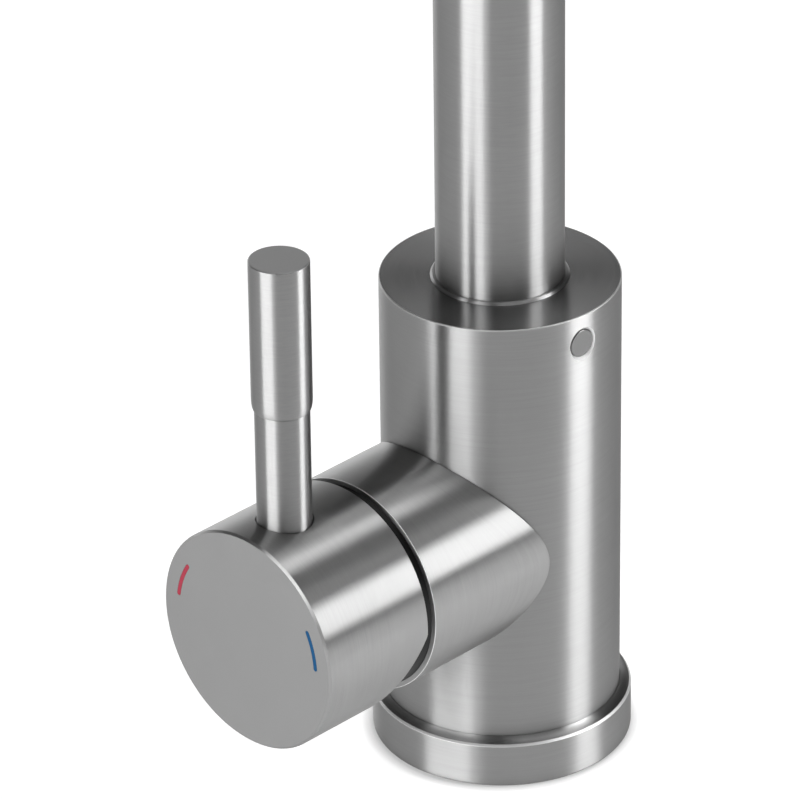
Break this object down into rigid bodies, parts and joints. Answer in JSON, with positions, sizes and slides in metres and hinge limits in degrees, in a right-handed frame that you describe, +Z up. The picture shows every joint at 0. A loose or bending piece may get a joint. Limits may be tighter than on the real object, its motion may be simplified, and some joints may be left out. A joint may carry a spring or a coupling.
{
  "type": "mixer tap",
  "caption": "Deck-mounted single lever kitchen mixer tap with a tall turning swan neck spout, a side knob with a straight lever, and a ceramic disc cartridge.",
  "frame": {"origin": "centre of the base ring's foot, on the deck's top face", "axes": "+Z up out of the deck along the body, +X along the valve branch towards the knob, and the spout at rest points to -Y, towards the user"},
  "size_m": [0.1022, 0.2358, 0.4518],
  "materials": {
    "outer_steel": "satin",
    "dark_steel": "satin",
    "valve_brass": "satin",
    "plain_steel": "satin",
    "cartridge_plastic": "matte",
    "disc_ceramic": "satin",
    "black_rubber": "matte",
    "red_mark": "satin",
    "blue_mark": "satin"
  },
  "bodies": {
    "tap_body": {"base_ring": "outer_steel", "base_gasket": "black_rubber", "body_shell": "outer_steel", "valve_core": "valve_brass", "branch_sleeve": "outer_steel", "valve_housing": "valve_brass", "channel_seals": "black_rubber", "cartridge_base": "cartridge_plastic", "port_seals": "black_rubber", "fixed_disc": "disc_ceramic", "cartridge_body": "cartridge_plastic", "cartridge_nut": "valve_brass", "dome_cover": "dark_steel", "top_bush": "outer_steel", "spout_screw": "plain_steel", "screw_plug": "dark_steel", "fixing_stud": "plain_steel", "deck_rubber": "black_rubber", "clamp_plate": "plain_steel", "stud_nut": "valve_brass"},
    "spindle": {"cartridge_spindle": "cartridge_plastic", "pivot_pin": "plain_steel"},
    "mixing_disc": {"moving_disc": "disc_ceramic", "disc_carrier": "cartridge_plastic"},
    "handle": {"cartridge_stem": "plain_steel", "knob": "outer_steel", "knob_set_screw": "plain_steel", "hot_mark": "red_mark", "cold_mark": "blue_mark", "lever_rod": "outer_steel", "lever_grip": "outer_steel"},
    "spout": {"spout_tube": "outer_steel", "spout_nipple": "valve_brass", "spout_o_rings": "black_rubber", "spout_glide_rings": "cartridge_plastic", "aerator_collar": "outer_steel", "aerator_insert": "cartridge_plastic", "aerator_washer": "black_rubber"}
  },
  "joints": [
    {"name": "spout_swivel", "type": "hinge", "parent": "tap_body", "child": "spout", "pos_m": [0, 0, 0.107], "axis": [0, 0, 1], "continuous": true},
    {"name": "temperature", "type": "hinge", "parent": "tap_body", "child": "spindle", "pos_m": [0.033, 0, 0.052], "axis": [1, 0, 0], "range_deg": [-50, 50]},
    {"name": "flow_tilt", "type": "hinge", "parent": "spindle", "child": "handle", "pos_m": [0.033, 0, 0.052], "axis": [0, 1, 0], "range_deg": [0, 24]},
    {"name": "disc_slide", "type": "slide", "parent": "spindle", "child": "mixing_disc", "axis": [0, 0, 1], "range_m": [0, 0.0049]}
  ],
  "couplings": [
    {"joint": "disc_slide", "follows": "flow_tilt", "m_per_rad": 0.011652}
  ]
}
